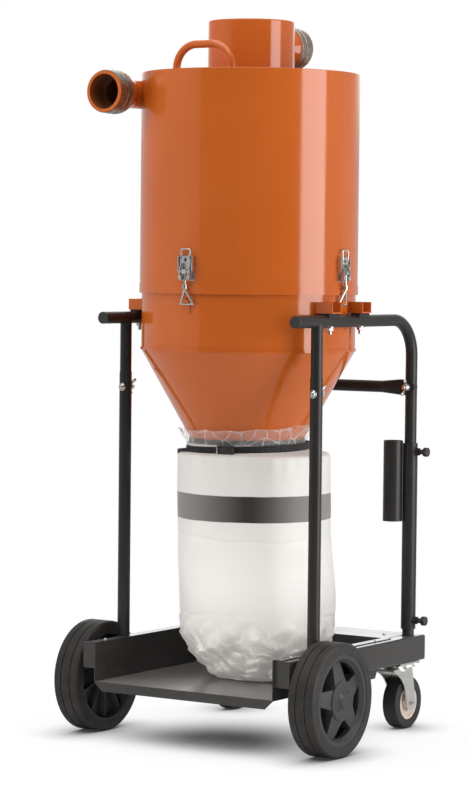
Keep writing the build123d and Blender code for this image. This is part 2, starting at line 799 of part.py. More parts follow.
def caster_fork():
    """Swivel crown, two broad legs scooped out in front and the wheel axle, about the swivel axis."""
    inner = caster_width / 2 + fork_gap
    outer = inner + fork_plate
    crown_bottom = crown_top - crown_thickness
    fork = disc(crown_radius, crown_bottom, crown_top)
    fork += block((-outer, -crown_front, crown_bottom), (outer, crown_back, crown_top))
    outline = [(-crown_front, crown_top), (crown_back, crown_top),
               (caster_trail + fork_eye_radius, caster_radius),
               (caster_trail - fork_eye_radius, caster_radius)]
    scoop_middle = (-fork_scoop_reach, caster_radius)
    scoop = rod((-outer - overrun, *scoop_middle), (outer + overrun, *scoop_middle), fork_scoop_radius)
    for start in (-outer, inner):
        fork += plate_x(outline, start, start + fork_plate) - scoop
        eye = (start, caster_trail, caster_radius)
        fork += rod(eye, (start + fork_plate, caster_trail, caster_radius), fork_eye_radius)
    end = outer + caster_axle_overhang
    fork += rod((-end, caster_trail, caster_radius), (end, caster_trail, caster_radius), caster_axle_radius)
    return fork - disc(kingpin_radius + running_gap, crown_bottom - overrun, crown_top + overrun)


def make_casters():
    half = caster_width / 2
    tyre = fillet(disc(caster_radius, -half, half).edges(), caster_tyre_shoulder)
    tyre -= disc(caster_tyre_bore, -half - overrun, half + overrun)
    rim_outer = caster_tyre_bore - seat_gap
    rim_half = half - caster_rim_inset
    rim = disc(rim_outer, -rim_half, rim_half)
    dish_depth = rim_half - caster_rim_dish
    for low, high in ((dish_depth, rim_half + overrun), (-rim_half - overrun, -dish_depth)):
        rim -= pipe(rim_outer - caster_rim_ring, caster_hub_radius, low, high)
    rim -= disc(caster_axle_radius + running_gap, -half - overrun, half + overrun)
    fork = caster_fork()
    plate = block((-caster_plate_half_width, -caster_plate_half_length, caster_top),
                  (caster_plate_half_width, caster_plate_half_length, beam_bottom))
    plate += disc(race_radius, caster_top - race_height, caster_top)
    plate += disc(kingpin_radius, caster_top - race_height - kingpin_length, caster_top)
    plates = []
    for name, side in SIDES.items():
        swivel = Pos(side * caster_offset, caster_setback, 0)
        wheel = Pos(side * caster_offset, caster_axle_setback, caster_radius) * Rot(0, 90, 0)
        plates.append(swivel * plate)
        save(f"{name}_caster_fork", swivel * fork)
        save(f"{name}_caster_tyre", wheel * tyre)
        save(f"{name}_caster_rim", wheel * rim)
    save("caster_plates", Compound(plates))


def bag_skin(inset):
    """Solid inside the bag's outline, set in by the film where asked."""
    lean = radians(bag_lean_bearing)
    shift_x, shift_y = bag_lean * cos(lean), bag_lean * sin(lean)
    floor = tray_floor + bearing_gap
    stations = [(bag_frill_top, bag_neck + frill_flare, 0), (bag_neck_top, bag_neck, 0),
                (strap_bottom, bag_neck, 0), (bag_shoulder, bag_radius, 1),
                (bag_waist_height, bag_radius - bag_waist_step, 1), (floor, bag_foot_radius, 1)]
    rings = []
    for height, radius, lean_share in stations:
        level = floor + inset if height == floor else height
        rings.append(Pos(shift_x * lean_share, shift_y * lean_share, level) * Circle(radius - inset))
    return loft(rings, ruled=True)


def make_bag():
    """Film bag tied round the discharge collar, its strap and the strap's buckle."""
    bag = bag_skin(0) - bag_skin(film)
    bands = []
    for level in (strap_bottom, bag_shoulder, bag_waist_height):
        cut = Plane.XY.offset(level)
        bands += split(bag, bisect_by=cut, keep=Keep.TOP).solids()
        bag = split(bag, bisect_by=cut, keep=Keep.BOTTOM)
    save("collection_bag", Compound([*bands, *bag.solids()]))
    strap_outer = strap_inner + strap_thickness
    save("bag_strap", pipe(strap_outer, strap_inner, strap_bottom, strap_top))
    middle = (strap_bottom + strap_top) / 2
    low = (-buckle_half_width, -strap_outer - buckle_thickness, middle - buckle_half_height)
    buckle = block(low, (buckle_half_width, 0, middle + buckle_half_height))
    buckle -= disc(strap_outer + seat_gap, collar_bottom, bag_frill_top)
    save("strap_buckle", Rot(0, 0, buckle_bearing) * buckle)


os.makedirs("parts", exist_ok=True)
make_body()
make_lid_handle()
make_latches()
make_frame()
make_cross_bar()
make_tool_holder()
make_knobs()
make_brackets()
make_cart()
make_wheels()
make_casters()
make_bag()
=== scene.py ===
"""Looks of the mobile cyclone pre-separator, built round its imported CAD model.

Metres, in the model's own frame: +Z up, the open front of the tray towards -Y.
"""

import json
import math
import random

import bmesh
import bpy
from mathutils import Matrix, Vector, noise


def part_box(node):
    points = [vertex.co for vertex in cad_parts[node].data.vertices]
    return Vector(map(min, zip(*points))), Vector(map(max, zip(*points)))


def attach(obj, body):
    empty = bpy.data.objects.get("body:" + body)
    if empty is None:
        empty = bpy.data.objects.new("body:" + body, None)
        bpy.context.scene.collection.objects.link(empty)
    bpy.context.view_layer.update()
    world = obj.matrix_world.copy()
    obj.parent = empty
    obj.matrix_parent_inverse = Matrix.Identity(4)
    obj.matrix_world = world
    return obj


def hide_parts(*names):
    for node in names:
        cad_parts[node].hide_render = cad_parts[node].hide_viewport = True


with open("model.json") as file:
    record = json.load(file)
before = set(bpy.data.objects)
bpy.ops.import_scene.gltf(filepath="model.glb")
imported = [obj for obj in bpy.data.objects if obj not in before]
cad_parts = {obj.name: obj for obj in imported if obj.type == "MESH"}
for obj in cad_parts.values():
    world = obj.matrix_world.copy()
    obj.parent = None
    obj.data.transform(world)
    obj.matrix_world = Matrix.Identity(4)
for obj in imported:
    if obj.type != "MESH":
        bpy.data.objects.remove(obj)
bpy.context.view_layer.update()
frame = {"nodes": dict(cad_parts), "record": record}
nodes = frame["nodes"]
MM = 0.001
LEAN = math.radians(33.2)
drum_low, drum_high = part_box("upper_drum")
DRUM_Y = (drum_low.y + drum_high.y) / 2


def spot(x, y, z):
    """A point given in millimetres from the drum's axis, as a vector in the model's frame."""
    return Vector((x * MM, y * MM + DRUM_Y, z * MM))


def middle(node):
    low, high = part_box(node)
    return (low + high) / 2


def smooth_step(low, high, value):
    share = max(0.0, min(1.0, (value - low) / (high - low)))
    return share * share * (3 - 2 * share)


# Materials


def linear(hex_code):
    """Linear colour of an sRGB hex value."""
    shares = [int(hex_code[start:start + 2], 16) / 255 for start in (1, 3, 5)]
    return (*[s / 12.92 if s <= 0.04045 else ((s + 0.055) / 1.055) ** 2.4 for s in shares], 1.0)


def add(tree, kind, inputs=None, **settings):
    """Add a node with its settings; an input is a plain value or a (node, output) link."""
    made = tree.nodes.new(kind)
    for name, value in settings.items():
        setattr(made, name, value)
    for name, value in (inputs or {}).items():
        if isinstance(value, tuple) and isinstance(value[0], bpy.types.Node):
            tree.links.new(value[0].outputs[value[1]], made.inputs[name])
        else:
            made.inputs[name].default_value = value
    return made


def finish_named(name, values):
    """A new material with its steady values on the shader's own sockets."""
    material = bpy.data.materials.new(name)
    material.use_nodes = True
    shader = material.node_tree.nodes["Principled BSDF"]
    for socket, value in values.items():
        shader.inputs[socket].default_value = value
    return material, material.node_tree, shader


def two_tones(tree, shader, first, second, size_mm):
    """Colour that drifts between two close tones in patches of the given size, and its coordinates."""
    place = add(tree, "ShaderNodeTexCoord")
    patches = add(tree, "ShaderNodeTexNoise",
                  {"Vector": (place, "Object"), "Scale": 1 / (size_mm * MM), "Detail": 4.0})
    share = add(tree, "ShaderNodeMapRange", {"Value": (patches, 0), "From Min": 0.35, "From Max": 0.65})
    tones = add(tree, "ShaderNodeMix", {0: (share, 0), 6: linear(first), 7: linear(second)},
                data_type="RGBA")
    tree.links.new(tones.outputs[2], shader.inputs["Base Color"])
    return place


def rough_between(tree, shader, place, size_mm, low, high):
    """Roughness that drifts between two values in patches of the given size."""
    patches = add(tree, "ShaderNodeTexNoise",
                  {"Vector": (place, "Object"), "Scale": 1 / (size_mm * MM), "Detail": 3.0})
    share = add(tree, "ShaderNodeMapRange",
                {"Value": (patches, 0), "From Min": 0.3, "From Max": 0.7, "To Min": low, "To Max": high})
    tree.links.new(share.outputs[0], shader.inputs["Roughness"])


def grain(tree, shader, place, size_mm, depth_mm):
    """Fine relief with grains of the given size and depth."""
    grains = add(tree, "ShaderNodeTexNoise",
                 {"Vector": (place, "Object"), "Scale": 1 / (size_mm * MM), "Detail": 2.0})
    relief = add(tree, "ShaderNodeBump",
                 {"Height": (grains, 0), "Distance": depth_mm * MM, "Strength": 1.0})
    tree.links.new(relief.outputs[0], shader.inputs["Normal"])


def make_orange_enamel():
    """Two-pack enamel sprayed on rolled steel: even orange, glossy, with a faint orange peel that
    ripples the reflections, and a dark brown painted shade inside both hose spigots, stronger deeper in.
    The peel's 3 mm cells are drawn at 9 mm, so that they show."""
    material, tree, shader = finish_named("orange_sprayed_enamel", {"IOR": 1.5})
    place = two_tones(tree, shader, "#B5571A", "#BC5C20", 260)
    rough_between(tree, shader, place, 90, 0.09, 0.14)
    grain(tree, shader, place, 9, 0.012)
    paint = shader.inputs["Base Color"].links[0].from_socket
    inlet, outlet = middle("inlet_pipe"), middle("outlet_pipe")
    bands_low, bands_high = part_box("hose_bands")
    lip = 4 * MM
    spigots = ((inlet, bands_low.y - lip, 1.0, 0.13), (outlet, bands_high.y + lip, -1.0, 0.09))
    # Painted shade inside each spigot bore: a dark brown over the orange, stronger deeper in.
    for axis, mouth, inward, deep in spigots:
        away = add(tree, "ShaderNodeVectorMath", {0: (place, "Object"), 1: (axis.x, mouth, axis.z)},
                   operation="SUBTRACT")
        flat = add(tree, "ShaderNodeVectorMath", {0: (away, 0), 1: (1.0, 0.0, 1.0)}, operation="MULTIPLY")
        reach = add(tree, "ShaderNodeVectorMath", {0: (flat, 0)}, operation="LENGTH")
        axes = add(tree, "ShaderNodeSeparateXYZ", {0: (away, 0)})
        depth = add(tree, "ShaderNodeMath", {0: (axes, 1), 1: inward}, operation="MULTIPLY")
        wall = add(tree, "ShaderNodeMapRange", {"Value": (depth, 0), "From Min": 0.0505, "From Max": 0.0515,
                                                "To Min": 0.0405, "To Max": 0.0315})
        within = add(tree, "ShaderNodeMath", {0: (reach, "Value"), 1: (wall, 0)}, operation="LESS_THAN")
        near = add(tree, "ShaderNodeMath", {0: (depth, 0), 1: deep}, operation="LESS_THAN")
        bore_shade = add(tree, "ShaderNodeMapRange", {"Value": (depth, 0), "From Min": 0.0, "From Max": 0.03,
                                                "To Min": 0.55, "To Max": 0.97})
        share = add(tree, "ShaderNodeMath", {0: (within, 0), 1: (near, 0)}, operation="MULTIPLY")
        share = add(tree, "ShaderNodeMath", {0: (share, 0), 1: (bore_shade, 0)}, operation="MULTIPLY")
        coated = add(tree, "ShaderNodeMix", {0: (share, 0), 7: linear("#653C26")}, data_type="RGBA")
        tree.links.new(paint, coated.inputs[6])
        paint = coated.outputs[2]
    tree.links.new(paint, shader.inputs["Base Color"])
    return material


def make_tube_coat():
    """Epoxy powder baked on tube: near black and even, a little dull, with a fine pebbled skin.
    Its 0.8 mm pebbles are drawn at 2.2 mm, so that they show."""
    material, tree, shader = finish_named("tube_powder_coat", {"IOR": 1.5, "Specular IOR Level": 0.36})
    place = two_tones(tree, shader, "#1E1C1A", "#232120", 90)
    rough_between(tree, shader, place, 120, 0.36, 0.42)
    grain(tree, shader, place, 2.2, 0.01)
    return material


def make_sheet_coat():
    """The same powder on flat sheet, where it flows smoother: satin, so that level faces catch a pale
    sheen, with a pale tone painted on the floor of the tray as the reflection it shows."""
    material, tree, shader = finish_named("sheet_powder_coat", {
        "IOR": 1.5, "Sheen Weight": 0.24, "Sheen Roughness": 0.3})
    place = two_tones(tree, shader, "#282624", "#2D2B29", 90)
    rough_between(tree, shader, place, 120, 0.2, 0.25)
    grain(tree, shader, place, 2.2, 0.002)
    coat = shader.inputs["Base Color"].links[0].from_socket
    # Painted reflection: a pale tone on the level floor of the tray, below 140 mm, standing in for the
    # bright reflection it shows.
    axes = add(tree, "ShaderNodeSeparateXYZ", {0: (place, "Object")})
    low = add(tree, "ShaderNodeMapRange", {"Value": (axes, 2), "From Min": 0.138, "From Max": 0.142,
                                           "To Min": 1.0, "To Max": 0.0})
    facing = add(tree, "ShaderNodeSeparateXYZ", {0: (place, "Normal")})
    level = add(tree, "ShaderNodeMapRange", {"Value": (facing, 2), "From Min": 0.9, "From Max": 0.97})
    share = add(tree, "ShaderNodeMath", {0: (low, 0), 1: (level, 0)}, operation="MULTIPLY")
    painted_floor_reflection = add(tree, "ShaderNodeMix", {0: (share, 0), 7: linear("#68635E")}, data_type="RGBA")
    tree.links.new(coat, painted_floor_reflection.inputs[6])
    tree.links.new(painted_floor_reflection.outputs[2], shader.inputs["Base Color"])
    return material


def make_zinc_plate():
    """Bright zinc on pressed steel: pale grey metal with cloudy patches where the plating is duller."""
    material, tree, shader = finish_named("bright_zinc_plate", {"Metallic": 1.0})
    place = two_tones(tree, shader, "#DAD8D5", "#CDCBC8", 14)
    rough_between(tree, shader, place, 12, 0.24, 0.36)
    grain(tree, shader, place, 1.5, 0.008)
    return material


def make_worn_steel():
    """Rolled steel hose band: bare metal that handling has darkened to a grey brown, with dull scuffs."""
    material, tree, shader = finish_named("worn_rolled_steel", {"Metallic": 1.0})
    place = two_tones(tree, shader, "#857B70", "#ABA195", 7)
    rough_between(tree, shader, place, 5, 0.3, 0.46)
    grain(tree, shader, place, 1.6, 0.05)
    return material


def make_tyre_rubber():
    """Moulded solid rubber: dark warm grey, dull, with a powdery bloom in broad patches."""
    material, tree, shader = finish_named("moulded_tyre_rubber", {"IOR": 1.52})
    place = two_tones(tree, shader, "#191715", "#221F1C", 35)
    rough_between(tree, shader, place, 20, 0.55, 0.7)
    grain(tree, shader, place, 2.5, 0.08)
    return material


def make_pad_rubber():
    """Cut rubber sheet: flat black and dull, with a fine cloth print."""
    material, tree, shader = finish_named("cut_rubber_sheet", {"IOR": 1.52})
    place = two_tones(tree, shader, "#121110", "#191716", 18)
    rough_between(tree, shader, place, 12, 0.6, 0.75)
    grain(tree, shader, place, 1.6, 0.06)
    return material


def make_black_nylon():
    """Glass-filled nylon from a spark-etched mould: black with a soft, even grain.
    The 0.5 mm etch is drawn at 1.8 mm, so that it shows."""
    material, tree, shader = finish_named("moulded_black_nylon", {"IOR": 1.53})
    place = two_tones(tree, shader, "#242322", "#2C2A29", 30)
    rough_between(tree, shader, place, 15, 0.38, 0.5)
    grain(tree, shader, place, 1.8, 0.05)
    return material


def make_caster_plastic():
    """Moulded polypropylene caster rim: pale warm grey with flow marks."""
    material, tree, shader = finish_named("pale_polypropylene", {"IOR": 1.49})
    place = two_tones(tree, shader, "#CDBBAD", "#D3C6BB", 16)
    rough_between(tree, shader, place, 10, 0.38, 0.5)
    grain(tree, shader, place, 2.0, 0.04)
    return material


def make_film():
    """Blown polyethylene film: milky where it hangs full, with a soft sheen and light passing through it.
    A grey printed band runs round the bag, painted paler towards its sides as the light it catches there.
    Low down a painted shade greys the film towards the foot. Round the foot, greyer cells are painted
    as shade on crumpled facets where the film lies several times over, with painted highlights along
    the creases. Above the strap its single layer is almost clear."""
    material, tree, shader = finish_named("milky_polyethylene_film", {
        "IOR": 1.5, "Sheen Weight": 0.4, "Sheen Roughness": 0.4})
    place = add(tree, "ShaderNodeTexCoord")
    here = (place, "Object")
    axes = add(tree, "ShaderNodeSeparateXYZ", {0: here})
    ripple = add(tree, "ShaderNodeTexNoise", {"Vector": here, "Scale": 1 / (70 * MM), "Detail": 2.0})
    wander = add(tree, "ShaderNodeMath", {0: (ripple, 0), 1: 0.5}, operation="SUBTRACT")
    height = add(tree, "ShaderNodeMath", {0: (wander, 0), 1: 0.003, 2: (axes, 2)}, operation="MULTIPLY_ADD")
    lower = add(tree, "ShaderNodeMapRange", {"Value": (height, 0), "From Min": 0.5145, "From Max": 0.5155})
    upper = add(tree, "ShaderNodeMapRange", {"Value": (height, 0), "From Min": 0.5755, "From Max": 0.5745})
    band = add(tree, "ShaderNodeMath", {0: (lower, 0), 1: (upper, 0)}, operation="MULTIPLY")
    clouds = add(tree, "ShaderNodeTexNoise", {"Vector": here, "Scale": 1 / (110 * MM), "Detail": 3.0})
    white = add(tree, "ShaderNodeMix", {0: (clouds, 0), 6: linear("#EFEDE9"), 7: linear("#F6F4F1")},
                data_type="RGBA")

    bend = add(tree, "ShaderNodeTexNoise", {"Vector": here, "Scale": 1 / (60 * MM), "Detail": 2.0})
    swayed = add(tree, "ShaderNodeMix", {0: 0.04, 4: here, 5: (bend, 1)}, data_type="VECTOR")
    # Painted shade: the film greys towards the foot, from 400 mm down to 250 mm.
    painted_low_shade = add(tree, "ShaderNodeMapRange", {"Value": (axes, 2), "From Min": 0.25, "From Max": 0.4,
                                           "To Min": 0.38, "To Max": 0.0}, interpolation_type="SMOOTHSTEP")
    film_with_painted_shade = add(tree, "ShaderNodeMix", {0: (painted_low_shade, 0), 6: (white, 2), 7: linear("#C6C0BA")},
                 data_type="RGBA")
    foot = add(tree, "ShaderNodeMapRange", {"Value": (axes, 2), "From Min": 0.19, "From Max": 0.34,
                                            "To Min": 1.0, "To Max": 0.0}, interpolation_type="SMOOTHSTEP")
    # Painted shade on the crumpled foot: greyer cells where the film lies several times over and its facets
    # turn from the light.
    for size_mm, share, tone in ((46, 0.5, "#BBB5AF"), (21, 0.35, "#C9C4BF")):
        cells = add(tree, "ShaderNodeTexVoronoi", {"Vector": (swayed, 1), "Scale": 1 / (size_mm * MM)})
        pick = add(tree, "ShaderNodeSeparateColor", {0: (cells, "Color")})
        part = add(tree, "ShaderNodeMath", {0: (pick, 0), 1: (foot, 0)}, operation="MULTIPLY")
        part = add(tree, "ShaderNodeMath", {0: (part, 0), 1: share}, operation="MULTIPLY")
        film_with_painted_shade = add(tree, "ShaderNodeMix", {0: (part, 0), 6: (film_with_painted_shade, 2), 7: linear(tone)},
                     data_type="RGBA")
    net = add(tree, "ShaderNodeTexVoronoi", {"Vector": (swayed, 1), "Scale": 1 / (40 * MM)},
              feature="DISTANCE_TO_EDGE")
    crease = add(tree, "ShaderNodeMapRange", {"Value": (net, "Distance"), "From Min": 0.0, "From Max": 0.045,
                                              "To Min": 1.0, "To Max": 0.0})
    # Painted highlights along the crease lines of the crumpled foot.
    pale = add(tree, "ShaderNodeMath", {0: (crease, 0), 1: (foot, 0)}, operation="MULTIPLY")
    pale = add(tree, "ShaderNodeMath", {0: (pale, 0), 1: 0.6}, operation="MULTIPLY")
    film_with_painted_shade = add(tree, "ShaderNodeMix", {0: (pale, 0), 6: (film_with_painted_shade, 2), 7: linear("#F8F6F4")},
                 data_type="RGBA")

    # Painted light on the printed band: paler towards its sides across the bag as seen from the camera,
    # darkest a little left of the middle.
    half_width = 0.18
    sideways = (math.cos(LEAN) / half_width, math.sin(LEAN) / half_width, 0.0)
    across = add(tree, "ShaderNodeVectorMath", {0: here, 1: sideways}, operation="DOT_PRODUCT")
    aside = add(tree, "ShaderNodeMath", {0: (across, "Value"), 1: 0.12}, operation="ADD")
    aside = add(tree, "ShaderNodeMath", {0: (aside, 0)}, operation="ABSOLUTE")
    painted_side_light = add(tree, "ShaderNodeMapRange", {"Value": (aside, 0), "From Min": 0.06, "From Max": 0.95})
    ink_and_painted_side_light = add(tree, "ShaderNodeMix", {0: (painted_side_light, 0), 6: linear("#3B3835"), 7: linear("#A09B96")},
              data_type="RGBA")
    printed = add(tree, "ShaderNodeMix", {0: (band, 0), 6: (film_with_painted_shade, 2), 7: (ink_and_painted_side_light, 2)}, data_type="RGBA")
    tree.links.new(printed.outputs[2], shader.inputs["Base Color"])
    gloss = add(tree, "ShaderNodeTexNoise", {"Vector": here, "Scale": 1 / (25 * MM), "Detail": 3.0})
    rough = add(tree, "ShaderNodeMapRange", {"Value": (gloss, 0), "To Min": 0.42, "To Max": 0.56})
    tree.links.new(rough.outputs[0], shader.inputs["Roughness"])
    relief = add(tree, "ShaderNodeBump",
                 {"Height": (net, "Distance"), "Distance": 0.002, "Strength": (foot, 0)})
    tree.links.new(relief.outputs[0], shader.inputs["Normal"])
    clear = add(tree, "ShaderNodeMapRange", {"Value": (axes, 2), "From Min": 0.684, "From Max": 0.69})
    lines = add(tree, "ShaderNodeMapRange", {"Value": (crease, 0), "To Min": 0.09, "To Max": 0.34})
    film = add(tree, "ShaderNodeMix", {0: (clear, 0), 2: 1.0, 3: (lines, 0)}, data_type="FLOAT")
    tree.links.new(film.outputs[0], shader.inputs["Alpha"])
    through = add(tree, "ShaderNodeBsdfTranslucent", {"Color": (printed, 2)})
    passing = add(tree, "ShaderNodeMapRange", {"Value": (clear, 0), "To Min": 0.34, "To Max": 0.0})
    skin = add(tree, "ShaderNodeMixShader", {0: (passing, 0), 1: (shader, 0), 2: (through, 0)})
    tree.links.new(skin.outputs[0], tree.nodes["Material Output"].inputs["Surface"])
    return material


def make_webbing():
    """Woven polyester webbing: matt black with ribs across the strap.
    The weave's 0.9 mm ribs are drawn at 2 mm, so that they show."""
    material, tree, shader = finish_named("woven_black_webbing", {"IOR": 1.5, "Sheen Weight": 0.05})
    place = two_tones(tree, shader, "#151413", "#1C1B1A", 25)
    rough_between(tree, shader, place, 12, 0.7, 0.85)
    along = add(tree, "ShaderNodeUVMap", uv_map="strip")
    per_metre = 1 / (2 * MM) / (2 * math.pi) * 0.314
    ribs = add(tree, "ShaderNodeTexWave", {"Vector": (along, 0), "Scale": per_metre, "Distortion": 0.4},
               wave_type="BANDS", bands_direction="X")
    relief = add(tree, "ShaderNodeBump", {"Height": (ribs, 0), "Distance": 0.0005, "Strength": 0.8})
    tree.links.new(relief.outputs[0], shader.inputs["Normal"])
    return material


def make_bright_steel():
    """Turned and polished steel on bolt heads and buckle bar: clean and mirror-like with fine rings."""
    material, tree, shader = finish_named("polished_steel", {"Metallic": 1.0})
    place = two_tones(tree, shader, "#D3D2CF", "#C2C1BE", 9)
    rough_between(tree, shader, place, 5, 0.14, 0.26)
    grain(tree, shader, place, 1.2, 0.015)
    return material


finishes = {
    "orange_paint": make_orange_enamel(),
    "black_powder_coat": make_tube_coat(),
    "zinc_plate": make_zinc_plate(),
    "worn_steel": make_worn_steel(),
    "tyre_rubber": make_tyre_rubber(),
    "black_rubber": make_pad_rubber(),
    "black_plastic": make_black_nylon(),
    "caster_rim_plastic": make_caster_plastic(),
    "clear_film": make_film(),
    "black_webbing": make_webbing(),
}
bright_steel = make_bright_steel()
sheet_coat = make_sheet_coat()
SHEET_NODES = ("tray", "left_beam", "right_beam", "rear_cross_member", "axle_brackets")


# Mesh helpers


def dress(obj, material, body="cart"):
    """Give a new piece its material and the body that carries it."""
    obj.data.materials.clear()
    obj.data.materials.append(material)
    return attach(obj, body)


def piece_from(name, points, faces, smooth=True):
    mesh = bpy.data.meshes.new(name)
    mesh.from_pydata([tuple(p) for p in points], [], faces)
    mesh.validate()
    for face in mesh.polygons:
        face.use_smooth = smooth
    obj = bpy.data.objects.new(name, mesh)
    bpy.context.scene.collection.objects.link(obj)
    return obj


def applied(obj):
    """The piece with its modifiers made part of its mesh."""
    graph = bpy.context.evaluated_depsgraph_get()
    mesh = bpy.data.meshes.new_from_object(obj.evaluated_get(graph))
    obj.modifiers.clear()
    old = obj.data
    obj.data = mesh
    bpy.data.meshes.remove(old)
    return obj


def turned(name, profile, steps=20):
    """Round piece about +Z from (radius, height) points in millimetres, first and last on the axis."""
    points = [(0, 0, profile[0][1] * MM)]
    faces = []
    rings = profile[1:-1]
    for radius, height in rings:
        for step in range(steps):
            angle = 2 * math.pi * step / steps
            points.append((radius * MM * math.cos(angle), radius * MM * math.sin(angle), height * MM))
    points.append((0, 0, profile[-1][1] * MM))
    last = len(points) - 1
    for step in range(steps):
        after = (step + 1) % steps
        faces.append((0, 1 + after, 1 + step))
        for row in range(len(rings) - 1):
            a, b = 1 + row * steps, 1 + (row + 1) * steps
            faces.append((a + step, a + after, b + after, b + step))
        base = 1 + (len(rings) - 1) * steps
        faces.append((base + step, base + after, last))
    return piece_from(name, points, faces)


def joined(name, parts):
    """Several small meshes as one, with sharp edges kept crisp."""
    work = bmesh.new()
    for part in parts:
        work.from_mesh(part.data)
        bpy.data.objects.remove(part)
    bmesh.ops.recalc_face_normals(work, faces=work.faces)
    mesh = bpy.data.meshes.new(name)
    work.to_mesh(mesh)
    work.free()
    mesh.set_sharp_from_angle(angle=math.radians(35))
    obj = bpy.data.objects.new(name, mesh)
    bpy.context.scene.collection.objects.link(obj)
    return obj


# Fasteners, made once and set on points by one tree


def make_setting_tree():
    """Tree that sets one small piece on every point, turned along the point's own direction."""
    tree = bpy.data.node_groups.new("set_on_points", "GeometryNodeTree")
    tree.interface.new_socket("Geometry", in_out="INPUT", socket_type="NodeSocketGeometry")
    tree.interface.new_socket("Piece", in_out="INPUT", socket_type="NodeSocketObject")
    tree.interface.new_socket("Finish", in_out="INPUT", socket_type="NodeSocketMaterial")
    tree.interface.new_socket("Size", in_out="INPUT", socket_type="NodeSocketFloat")
    tree.interface.new_socket("Geometry", in_out="OUTPUT", socket_type="NodeSocketGeometry")
    start = add(tree, "NodeGroupInput")
    shape = add(tree, "GeometryNodeObjectInfo", {"Object": (start, "Piece")}, transform_space="ORIGINAL")
    facing = add(tree, "GeometryNodeInputNamedAttribute", {"Name": "facing"}, data_type="FLOAT_VECTOR")
    across = add(tree, "GeometryNodeInputNamedAttribute", {"Name": "across"}, data_type="FLOAT_VECTOR")
    upright = add(tree, "FunctionNodeAlignRotationToVector", {"Vector": (facing, 0)}, axis="Z")
    turn = add(tree, "FunctionNodeAlignRotationToVector", {"Rotation": (upright, 0), "Vector": (across, 0)},
               axis="X", pivot_axis="Z")
    copies = add(tree, "GeometryNodeInstanceOnPoints",
                 {"Points": (start, "Geometry"), "Instance": (shape, "Geometry"), "Rotation": (turn, 0),
                  "Scale": (start, "Size")})
    real = add(tree, "GeometryNodeRealizeInstances", {"Geometry": (copies, 0)})
    coated = add(tree, "GeometryNodeSetMaterial", {"Geometry": (real, 0), "Material": (start, "Finish")})
    add(tree, "NodeGroupOutput", {"Geometry": (coated, 0)})
    return tree


setting_tree = make_setting_tree()


def set_pieces(name, pattern, places, material, body="cart", size=1.0):
    """One mesh with the pattern piece at every (point, facing, across) place."""
    holder = piece_from(name, [p for p, _, _ in places], [])
    for label, column in (("facing", 1), ("across", 2)):
        values = holder.data.attributes.new(label, "FLOAT_VECTOR", "POINT")
        for index, place in enumerate(places):
            values.data[index].vector = place[column]
    rows = holder.modifiers.new("rows", "NODES")
    rows.node_group = setting_tree
    settings = {"Piece": pattern, "Finish": material, "Size": size}
    for item in setting_tree.interface.items_tree:
        if item.in_out == "INPUT" and item.name in settings:
            rows[item.identifier] = settings[item.name]
    return dress(applied(holder), material, body)


def dome_head():
    """Domed bolt head on a washer."""
    return turned("dome_head", [(0, -2), (9, -2), (9, 1.4), (8.6, 1.8), (6.6, 1.8), (6.5, 3.2),
                                (5.6, 5.2), (3.6, 6.6), (0, 7.1)])


def hex_nut(size, height, tip):
    """Chamfered six-sided nut on a washer, with the bolt's end standing out of it."""
    flat = size / math.cos(math.pi / 6)
    nut = turned("nut_body", [(0, 0), (flat * 0.94, 1.4), (flat, 2.2), (flat, height - 0.8),
                              (flat * 0.9, height), (0, height)], steps=6)
    rim = size * 1.3
    washer = turned("nut_washer", [(0, -2), (rim, -2), (rim, 1.2), (size * 1.25, 1.5), (0, 1.5)])
    shank = size * 0.55
    end = turned("bolt_end", [(0, height - 1), (shank, height - 1), (shank, height + tip - 0.8),
                              (size * 0.45, height + tip), (0, height + tip)], steps=14)
    return joined("hex_nut", [nut, washer, end])


def wing_nut():
    """Cast wing nut: a tapered boss with two rounded wings."""
    boss = turned("wing_boss", [(0, -1), (8, -1), (8, 1), (7.4, 5), (6, 9), (5.4, 10.5), (0, 10.5)],
                  steps=18)
    bolt = turned("wing_bolt", [(0, 9), (3.6, 9), (3.6, 14), (3, 15), (0, 15)], steps=12)
    parts = [boss, bolt]
    outline = [(5, 1.5), (11, 5), (15.5, 10), (16.5, 14.5), (14, 17), (10.5, 16), (8.5, 12), (6, 8.5),
               (3, 8)]
    for side in (-1, 1):
        points = [(side * x * MM, y * 1.7 * MM, z * MM) for y in (-1, 1) for x, z in outline]
        count = len(outline)
        faces = [tuple(range(count)), tuple(range(2 * count - 1, count - 1, -1))]
        faces += [(i, i + count, (i + 1) % count + count, (i + 1) % count) for i in range(count)]
        wing = piece_from("wing", points, faces)
        edge = wing.modifiers.new("edge", "BEVEL")
        edge.width = 0.0012
        edge.segments = 2
        parts.append(applied(wing))
    return joined("wing_nut", parts)


